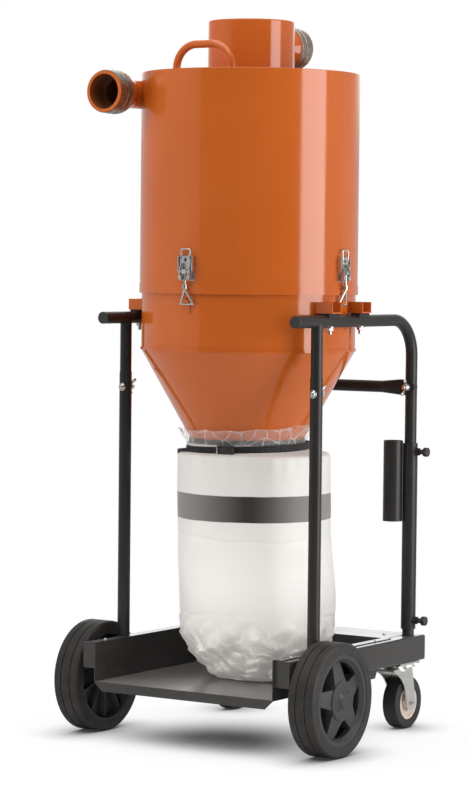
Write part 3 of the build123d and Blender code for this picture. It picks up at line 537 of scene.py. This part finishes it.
def add_fasteners():
    """Bolts and nuts at the splices, drum seats, tray and casters."""
    tube = middle("right_front_post")
    leg = middle("right_rear_sleeve")
    bar = middle("rear_cross_bar")
    beam_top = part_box("right_beam")[1].z
    flange_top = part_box("tray")[1].z
    bracket_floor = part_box("drum_brackets")[0].z + 3 * MM
    pad_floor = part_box("right_hoop")[1].z - 28 * MM
    post_radius = 14.5 * MM
    splice = 814 * MM
    seat_x, seat_rows = 264, (-66, 66)
    flange_x, flange_rows = 257, (-204, 165)
    caster_x, caster_y, plate_underside = 243, 283, 158.5
    member_x, member_y = 205, 294
    x_axis, y_axis, z_axis = Vector((1, 0, 0)), Vector((0, 1, 0)), Vector((0, 0, 1))

    domes, wings, nuts, heads, plate_bolts = [], [], [], [], []
    leg_x = middle("right_rear_leg").x
    for side in (-1, 1):
        x = side * tube.x
        domes.append((Vector((x, tube.y - post_radius + 1 * MM, splice)), -y_axis, x_axis))
        wings.append((Vector((x, tube.y + post_radius - 1 * MM, splice)), y_axis, Vector((0.35, 0, 1))))
        leg_front = Vector((side * leg_x, bar.y - 3 * MM, bar.z))
        wings.append((leg_front, -y_axis, Vector((0.2, 0, 1))))
        domes.append((Vector((side * leg_x, leg.y + 13 * MM, leg_front.z)), y_axis, x_axis))
        for along in seat_rows:
            seat = spot(side * seat_x, along, 0)
            nuts.append((Vector((seat.x, seat.y, pad_floor)), -z_axis, x_axis))
            heads.append((Vector((seat.x, seat.y, bracket_floor)), z_axis, x_axis))
        for along in flange_rows:
            heads.append((Vector((side * flange_x * MM, spot(0, along, 0).y, flange_top)), z_axis, x_axis))
        swivel = spot(side * caster_x, caster_y, plate_underside)
        for dx in (-31, 31):
            for dy in (-36, 36):
                plate_bolts.append((swivel + Vector((dx, dy, 0)) * MM, -z_axis, x_axis))
    for x in (member_x, -member_x):
        heads.append((Vector((x * MM, spot(0, member_y, 0).y, beam_top)), z_axis, x_axis))

    patterns = {"domes": dome_head(), "wings": wing_nut(), "nuts": hex_nut(7.5, 7, 9),
                "small": hex_nut(6, 5, 4)}
    set_pieces("post_bolt_heads", patterns["domes"], domes, bright_steel, size=1.05)
    set_pieces("post_wing_nuts", patterns["wings"], wings, finishes["zinc_plate"], size=1.25)
    set_pieces("bracket_nuts", patterns["nuts"], nuts, finishes["zinc_plate"])
    set_pieces("tray_bolt_heads", patterns["domes"], heads, finishes["zinc_plate"], size=0.5)
    set_pieces("caster_plate_nuts", patterns["small"], plate_bolts, finishes["zinc_plate"])
    for side in ("left", "right"):
        axle = middle(f"{side}_caster_rim")
        ends = [(axle + x_axis * way * 25.5 * MM, x_axis * way, z_axis) for way in (-1, 1)]
        set_pieces(f"{side}_axle_nuts", patterns["small"], ends, finishes["zinc_plate"],
                   f"{side}_caster", size=0.8)
    for pattern in patterns.values():
        bpy.data.objects.remove(pattern)


def seam_round(centre, radius, count):
    """Places along a round fillet seam, facing half outwards and half up."""
    places = []
    for index in range(count):
        angle = 2 * math.pi * index / count
        out = Vector((math.cos(angle), math.sin(angle), 0))
        places.append((centre + out * radius, (out + Vector((0, 0, 1))).normalized(),
                       Vector((-out.y, out.x, 0))))
    return places


def add_welds():
    """Painted weld beads: overlapping scallops, laid along the seams."""
    scallop = turned("scallop", [(0, -2.2), (2.4, -1.6), (3, -0.4), (2.7, 0.8), (1.6, 1.7), (0, 2)],
                     steps=8)
    tower_low, tower_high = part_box("outlet_tower")
    tower_foot = spot(0, 0, 0) + Vector((0, 0, tower_low.z))
    seams = seam_round(tower_foot, (tower_high.x - tower_low.x) / 2, 150)
    set_pieces("tower_weld", scallop, seams, finishes["orange_paint"])
    post, stub = middle("right_front_post"), middle("base_stubs")
    beam_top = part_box("right_beam")[1].z
    tubes = []
    for side in (-1, 1):
        for y, radius in ((post.y, 14.5), (stub.y, 14)):
            tubes += seam_round(Vector((side * post.x, y, beam_top)), radius * MM, 28)
    set_pieces("tube_foot_welds", scallop, tubes, finishes["black_powder_coat"])
    bpy.data.objects.remove(scallop)


# Film bag


# Sizes in millimetres from the drum's axis and the floor; a crease is (height, depth, phase) and a row of
# the outline is (height, radius, share of the lean).
LEAN_REACH = 17.0
FOOT_REACH = 12.0
TRAY_TOP = 136.2
CREASES = ((474, 2.0, 0.3), (369, 2.2, 1.9), (296, 2.2, 4.2))
STRAP_MIDDLE = 678.0
BAG_PROFILE = [
    (724, 160.5, 0), (727, 159.5, 0), (727, 157, 0), (716, 153, 0), (704, 146.5, 0), (693, 140.4, 0),
    (686, 138.6, 0), (676, 138.6, 0), (671.5, 141, 0.1), (669, 152, 0.5), (667.5, 165, 0.85),
    (666, 174, 1), (662, 177.8, 1), (654, 179, 1), (560, 179.5, 1), (490, 180, 1), (458, 180.2, 1),
    (385, 181.2, 1), (353, 181.4, 1), (330, 181.5, 1), (290, 181, 1), (265, 179.5, 1), (245, 176, 1),
    (228, 169, 1), (212, 159, 1), (198, 148, 1), (182, 136, 1), (166, 122, 1), (152, 105, 1),
    (142, 87, 1), (137.2, 68, 1), (136.3, 40, 1),
]


def make_folds(count, shortest, longest, seed):
    """Straight fold lines in random directions: (direction over spacing, phase, spacing) each."""
    draw = random.Random(seed)
    folds = []
    for _ in range(count):
        spacing = draw.uniform(shortest, longest)
        turn, rise = draw.uniform(0, 2 * math.pi), draw.uniform(-0.8, 0.8)
        flat = math.sqrt(1 - rise * rise)
        way = Vector((flat * math.cos(turn), flat * math.sin(turn), rise))
        folds.append((way / spacing, draw.random(), spacing))
    return folds


BODY_FOLDS = make_folds(5, 130, 260, 4)
FOOT_FOLDS = make_folds(9, 24, 80, 12)


def folded(point, folds):
    """Push of the film between straight folds, so that it falls in flat facets."""
    push = 0.0
    for way, phase, spacing in folds:
        share = (point.dot(way) + phase) % 1.0
        push += spacing * (4 * abs(share - 0.5) - 1)
    return push / len(folds)


def strap_height(angle):
    """Height of the strap's middle, which lies a little askew."""
    return STRAP_MIDDLE + 6.5 * math.cos(angle - LEAN)


def bag_point(angle, height, radius, lean_share):
    """One point of the film, with its ruffles, creases and crumpled foot."""
    out = Vector((math.cos(angle), math.sin(angle), 0))
    smooth = out * radius + Vector((0, 0, height))
    at = out * radius * 0.01
    level = Vector((at.x, at.y, height * 0.01))
    push = 0.0
    lift = (strap_height(angle) - STRAP_MIDDLE) * smooth_step(667, 678, height)
    frill = smooth_step(690, 727, height)
    ruffle = math.sin(17 * angle + 2.4 * math.sin(3 * angle + 1)) * 0.5 + 1.2 * noise.noise(at * 3.1)
    flare = max(0.0, math.cos(angle - LEAN)) ** 6
    push += frill * (7 * ruffle - 1 + 12 * flare)
    lift += frill * (9 * noise.noise(at * 1.9 + Vector((0, 0, 7))) + 12 * flare)
    gathers = smooth_step(610, 655, height) * (1 - smooth_step(666, 674, height))
    push += gathers * math.sin(31 * angle + 3 * noise.noise(at * 2))
    body = smooth_step(150, 220, height) * (1 - smooth_step(630, 660, height))
    push += body * (1.6 * noise.noise(level * 0.9) + 0.02 * folded(smooth, BODY_FOLDS))
    for crease, depth, phase in CREASES:
        line = crease + 5 * math.sin(angle * 2 + phase) + 6 * noise.noise(at * 1.3 + Vector((0, 0, phase)))
        strength = 0.5 + 0.5 * math.sin(angle * 1.5 + phase * 2)
        push -= depth * strength * math.exp(-(((height - line) / 4) ** 2))
    foot = 1 - smooth_step(205, 300, height)
    crumple = folded(smooth, FOOT_FOLDS)
    push += foot * (0.95 * crumple + 3)
    lift += foot * smooth_step(140, 175, height) * (9 * noise.noise(level * 2.1) + 0.35 * crumple)
    reach = LEAN_REACH * lean_share + FOOT_REACH * (1 - smooth_step(280, 520, height))
    shift = Vector((math.cos(LEAN), math.sin(LEAN), 0)) * reach
    place = shift + out * (radius + push)
    return spot(place.x, place.y, max(TRAY_TOP, height + lift))


def profile_rows():
    """The bag's outline as (height, radius, lean) rows, close together where the film is crumpled."""
    rows = []
    for first, second in zip(BAG_PROFILE, BAG_PROFILE[1:]):
        run = math.hypot(second[0] - first[0], second[1] - first[1])
        creased = any(second[0] < crease < first[0] < second[0] + 40 for crease, _, _ in CREASES)
        step = 8.0 if 300 < second[0] < 640 and not creased else 3.2
        count = max(1, round(run / step))
        for index in range(count):
            share = index / count
            rows.append([a + (b - a) * share for a, b in zip(first, second)])
    rows.append(list(BAG_PROFILE[-1]))
    for _ in range(2):
        rows = [rows[0]] + [[(a + 2 * b + c) / 4 for a, b, c in zip(*trio)]
                            for trio in zip(rows, rows[1:], rows[2:])] + [rows[-1]]
    return rows


def add_bag():
    """The film bag as one closed skin, from its frill to the middle of its base."""
    columns = 270
    rows = profile_rows()
    points = []
    for height, radius, lean_share in rows:
        for column in range(columns):
            points.append(bag_point(2 * math.pi * column / columns, height, radius, lean_share))
    faces = []
    for row in range(len(rows) - 1):
        for column in range(columns):
            after = (column + 1) % columns
            low, high = (row + 1) * columns, row * columns
            faces.append((low + column, low + after, high + after, high + column))
    base = (len(rows) - 1) * columns
    centre = sum((points[base + c] for c in range(columns)), Vector()) / columns
    points.append(centre)
    for column in range(columns):
        faces.append((base + (column + 1) % columns, base + column, len(points) - 1))
    bag = piece_from("film_bag", points, faces)
    wall = bag.modifiers.new("wall", "SOLIDIFY")
    wall.thickness = 0.0006
    wall.offset = -1
    applied(bag)
    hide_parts("collection_bag")
    dress(bag, finishes["clear_film"])


def strip(name, angles, radii, heights, widths, thickness):
    """Flat webbing along a path round the neck, with its length in its UV map."""
    across = 6
    points, lengths = [], [0.0]
    for index, (angle, radius, height, width) in enumerate(zip(angles, radii, heights, widths)):
        for row in range(across + 1):
            share = row / across - 0.5
            bow = radius - 0.5 * (2 * share) ** 4
            points.append(spot(bow * math.cos(angle), bow * math.sin(angle), height + share * width))
        if index:
            lengths.append(lengths[-1] + (points[-1] - points[-across - 2]).length)
    faces = []
    for index in range(len(angles) - 1):
        for row in range(across):
            a = index * (across + 1) + row
            faces.append((a, a + across + 1, a + across + 2, a + 1))
    band = piece_from(name, points, faces)
    layer = band.data.uv_layers.new(name="strip")
    for loop in band.data.loops:
        index, row = divmod(loop.vertex_index, across + 1)
        layer.data[loop.index].uv = (lengths[index], row / across * widths[index] * MM)
    wall = band.modifiers.new("wall", "SOLIDIFY")
    wall.thickness = thickness * MM
    wall.offset = 1
    edge = band.modifiers.new("edge", "BEVEL")
    edge.width = 0.0004
    edge.segments = 2
    edge.limit_method = "ANGLE"
    return applied(band)


BUCKLE_ANGLE = math.radians(-77)


def add_strap():
    """Webbing loop, seen narrower on the side where it tilts, and its long free end."""
    count = 220
    angles = [BUCKLE_ANGLE + 2 * math.pi * index / count for index in range(count + 1)]
    waves = [0.5 * noise.noise(Vector((math.cos(a), math.sin(a), 0)) * 4) for a in angles]
    radii = [140.6 + 5 * max(0.0, math.cos(a - LEAN)) ** 2 + wave for a, wave in zip(angles, waves)]
    radii[-1] = radii[0]
    widths = [18.5 - 2.5 * math.cos(angle - LEAN) for angle in angles]
    loop = strip("neck_strap", angles, radii, [strap_height(a) for a in angles], widths, 1.8)
    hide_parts("bag_strap")
    dress(loop, finishes["black_webbing"])
    steps = 70
    span = math.radians(70)
    tail_angles, tail_radii, tail_heights = [], [], []
    for index in range(steps + 1):
        share = index / steps
        angle = BUCKLE_ANGLE - math.radians(3) - span * share
        tail_angles.append(angle)
        slack = 1.5 * math.sin(math.pi * min(1, share * 1.6))
        tail_radii.append(143.4 + slack + 23 * smooth_step(0.5, 1.15, share))
        tail_heights.append(strap_height(angle) - 1.5 - 5 * share)
    tail_widths = [21 - 7 * smooth_step(0.7, 1.0, index / steps) for index in range(steps + 1)]
    tail = strip("strap_tail", tail_angles, tail_radii, tail_heights, tail_widths, 1.8)
    dress(tail, finishes["black_webbing"])


def rounded_block(name, size, edge_mm):
    """Block centred on the origin with rounded edges, sizes in millimetres."""
    x, y, z = (s / 2 * MM for s in size)
    points = [(sx * x, sy * y, sz * z) for sx in (-1, 1) for sy in (-1, 1) for sz in (-1, 1)]
    faces = [(0, 1, 3, 2), (4, 6, 7, 5), (0, 4, 5, 1), (2, 3, 7, 6), (0, 2, 6, 4), (1, 5, 7, 3)]
    block = piece_from(name, points, faces)
    edge = block.modifiers.new("edge", "BEVEL")
    edge.width = edge_mm * MM
    edge.segments = 3
    return applied(block)


def add_buckle():
    """Cam buckle on the strap: a moulded body with side rails, a lever plate and a bright bar."""
    height = strap_height(BUCKLE_ANGLE)
    place = Matrix.Rotation(BUCKLE_ANGLE + math.pi / 2, 4, "Z")
    seat = spot(146.5 * math.cos(BUCKLE_ANGLE), 146.5 * math.sin(BUCKLE_ANGLE), height)
    back = ((42, 3, 25), (1, 1.5, 0))
    upper_rail = ((42, 7, 3.4), (1, 0, 11.6))
    lower_rail = ((42, 7, 3.4), (1, 0, -11.6))
    lever = ((28, 4, 19), (7, -1.5, 0))
    thumb_edge = ((5, 3, 19), (18, -3.4, 0))
    parts = []
    for size, shift in (back, upper_rail, lower_rail, lever, thumb_edge):
        block = rounded_block("rail", size, 1.2)
        block.data.transform(Matrix.Translation(Vector(shift) * MM))
        parts.append(block)
    body = joined("buckle_body", parts)
    body.data.transform(Matrix.Translation(seat) @ place)
    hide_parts("strap_buckle")
    dress(body, finishes["black_plastic"])
    bar = turned("buckle_bar", [(0, -13), (1.6, -13), (2, -12.4), (2, 12.4), (1.6, 13), (0, 13)], steps=14)
    bar.data.transform(Matrix.Translation(seat) @ place @ Matrix.Translation(Vector((-19, -1.5, 0)) * MM))
    dress(bar, bright_steel)


# Camera, light and floor


def add_camera():
    """Camera fitted to the view: about 33 degrees to the right of the front and just above mid-height."""
    turn, distance, height = math.radians(33.1797), 6711.11, 1107.22
    aim, pitch, roll = turn + math.radians(0.29), math.radians(2.73), math.radians(0.59)
    ahead = Vector((-math.sin(aim) * math.cos(pitch), math.cos(aim) * math.cos(pitch), -math.sin(pitch)))
    level = Vector((math.cos(aim), math.sin(aim), 0))
    above = level.cross(ahead)
    right = math.cos(roll) * level + math.sin(roll) * above
    up = -math.sin(roll) * level + math.cos(roll) * above
    lens = bpy.data.cameras.new("view")
    lens.sensor_fit = "VERTICAL"
    lens.sensor_height = 36
    lens.lens = 2874.41 * 36 / 800
    lens.clip_end = 60
    camera = bpy.data.objects.new("view", lens)
    bpy.context.scene.collection.objects.link(camera)
    rows = Matrix((right, up, -ahead)).transposed().to_4x4()
    seat = spot(distance * math.sin(turn), -distance * math.cos(turn), height)
    camera.matrix_world = Matrix.Translation(seat) @ rows
    bpy.context.scene.camera = camera


def add_softbox(name, bearing, distance, height, width, tall, power, mirrored=True, aim=0.9, spread=180):
    """Rectangular softbox at a bearing from the front, aimed at a height; a fill need not be mirrored."""
    lamp = bpy.data.lights.new(name, "AREA")
    lamp.shape = "RECTANGLE"
    lamp.size = width
    lamp.size_y = tall
    lamp.energy = power
    lamp.spread = math.radians(spread)
    box = bpy.data.objects.new(name, lamp)
    bpy.context.scene.collection.objects.link(box)
    angle = math.radians(bearing)
    box.location = (distance * math.sin(angle), -distance * math.cos(angle), height)
    target = Vector((0, DRUM_Y, aim))
    box.rotation_euler = (target - box.location).to_track_quat("-Z", "Y").to_euler()
    box.visible_glossy = mirrored


def add_world():
    """White surroundings for the view; reflections see a studio that is dark on the camera's side."""
    world = bpy.data.worlds.new("studio")
    bpy.context.scene.world = world
    world.use_nodes = True
    tree = world.node_tree
    tree.nodes.clear()
    rays = add(tree, "ShaderNodeLightPath")
    place = add(tree, "ShaderNodeTexCoord")
    bearing = math.radians(33.2)
    viewer = (math.sin(bearing), -math.cos(bearing), 0.0)
    toward = add(tree, "ShaderNodeVectorMath", {0: (place, "Generated"), 1: viewer},
                 operation="DOT_PRODUCT")
    front = add(tree, "ShaderNodeMapRange", {"Value": (toward, "Value"), "From Min": 0.56,
                                             "From Max": 0.61, "To Min": 0.55, "To Max": 0.12})
    back = add(tree, "ShaderNodeMapRange", {"Value": (toward, "Value"), "From Min": -0.96,
                                            "From Max": -0.75, "To Min": 1.7, "To Max": 0.0})
    heading = add(tree, "ShaderNodeSeparateXYZ", {0: (place, "Generated")})
    raised = add(tree, "ShaderNodeMapRange", {"Value": (heading, 2), "From Min": 0.04, "From Max": 0.1})
    glow = add(tree, "ShaderNodeMath", {0: (back, 0), 1: (raised, 0)}, operation="MULTIPLY")
    studio = add(tree, "ShaderNodeMath", {0: (front, 0), 1: (glow, 0)}, operation="ADD")
    soft = add(tree, "ShaderNodeBackground", {"Color": linear("#FFFFFF"), "Strength": 0.4})
    seen = add(tree, "ShaderNodeBackground", {"Color": linear("#FFFFFF"), "Strength": 1.0})
    mirrored = add(tree, "ShaderNodeBackground", {"Color": linear("#FFFFFF"), "Strength": (studio, 0)})
    first = add(tree, "ShaderNodeMixShader", {0: (rays, "Is Glossy Ray"), 1: (soft, 0), 2: (mirrored, 0)})
    direct = add(tree, "ShaderNodeMath", {0: (rays, "Is Camera Ray"), 1: (rays, "Is Transmission Ray")},
                 operation="MAXIMUM")
    second = add(tree, "ShaderNodeMixShader", {0: (direct, 0), 1: (first, 0), 2: (seen, 0)})
    add(tree, "ShaderNodeOutputWorld", {"Surface": (second, 0)})


def add_floor():
    """White paper floor: to the camera it reads as white away from the cart,
    with a soft shadow painted under the cart from how closely the floor is covered.
    """
    count, reach = 64, 9.0
    turns = [2 * math.pi * i / count for i in range(count)]
    points = [Vector((0, 0, 0))]
    points += [Vector((reach * math.cos(turn), reach * math.sin(turn), 0)) for turn in turns]
    faces = [(0, 1 + i, 1 + (i + 1) % count) for i in range(count)]
    floor = piece_from("studio_floor", points, faces, smooth=False)
    material = bpy.data.materials.new("white_paper_floor")
    material.use_nodes = True
    tree = material.node_tree
    tree.nodes.clear()
    rays = add(tree, "ShaderNodeLightPath")
    direct = add(tree, "ShaderNodeMath", {0: (rays, "Is Camera Ray"), 1: (rays, "Is Glossy Ray")},
                 operation="MAXIMUM")
    direct = add(tree, "ShaderNodeMath", {0: (direct, 0), 1: (rays, "Is Transmission Ray")},
                 operation="MAXIMUM")
    # Painted shadow: the camera sees the floor as light whose strength drops where the floor is covered,
    # deepest in a pool just ahead of the cart and where the wheels touch.
    covered = add(tree, "ShaderNodeAmbientOcclusion", {"Distance": 0.5}, samples=16)
    shade = add(tree, "ShaderNodeMapRange", {"Value": (covered, "AO"), "From Min": 0.12, "From Max": 0.75,
                                             "To Min": 0.05, "To Max": 1.0})
    place = add(tree, "ShaderNodeTexCoord")
    pool_middle = tuple(spot(10, -112, 0))
    away = add(tree, "ShaderNodeVectorMath", {0: (place, "Object"), 1: pool_middle}, operation="DISTANCE")
    edge = add(tree, "ShaderNodeMapRange", {"Value": (away, "Value"), "From Min": 0.06, "From Max": 0.42},
               interpolation_type="SMOOTHSTEP")
    faint = add(tree, "ShaderNodeMapRange", {"Value": (covered, "AO"), "From Min": 0.3, "From Max": 0.9,
                                             "To Min": 0.9, "To Max": 1.0})
    pool = add(tree, "ShaderNodeMix", {0: (edge, 0), 2: (shade, 0), 3: (faint, 0)}, data_type="FLOAT")
    touching = add(tree, "ShaderNodeAmbientOcclusion", {"Distance": 0.11}, samples=16)
    contact = add(tree, "ShaderNodeMapRange", {"Value": (touching, "AO"), "From Min": 0.15,
                                               "From Max": 0.97, "To Min": 0.05, "To Max": 1.0})
    both = add(tree, "ShaderNodeMath", {0: (pool, 0), 1: (contact, 0)}, operation="MULTIPLY")
    paper = add(tree, "ShaderNodeBsdfDiffuse", {"Color": linear("#F2F1F0")})
    dim = add(tree, "ShaderNodeMapRange", {"Value": (rays, "Is Glossy Ray"), "To Min": 1.0, "To Max": 0.66})
    light = add(tree, "ShaderNodeMath", {0: (both, 0), 1: (dim, 0)}, operation="MULTIPLY")
    seen = add(tree, "ShaderNodeEmission", {"Color": linear("#FFFFFF"), "Strength": (light, 0)})
    surface = add(tree, "ShaderNodeMixShader", {0: (direct, 0), 1: (paper, 0), 2: (seen, 0)})
    add(tree, "ShaderNodeOutputMaterial", {"Surface": (surface, 0)})
    floor.data.materials.append(material)


slots = {row["node"]: row["material_slot"] for row in frame["record"]["subparts"]}
for name, obj in nodes.items():
    obj.data.materials.clear()
    obj.data.materials.append(sheet_coat if name in SHEET_NODES else finishes[slots[name]])

add_bag()
add_strap()
add_buckle()
add_fasteners()
add_welds()
add_camera()
add_world()
add_softbox("key_softbox", bearing=99.4, distance=2.6, height=1.05, width=1.37, tall=2.1, power=50)
add_softbox("fill_softbox", bearing=-46, distance=3.2, height=1.6, width=2.0, tall=2.4, power=44,
            mirrored=False)
add_softbox("top_softbox", bearing=10, distance=0.9, height=3.3, width=2.4, tall=2.4, power=50)
add_softbox("foot_softbox", bearing=20, distance=1.9, height=0.12, width=1.2, tall=0.16, power=1.8,
            mirrored=False, aim=0.06, spread=40)
add_floor()
bpy.context.scene.view_settings.view_transform = "Standard"
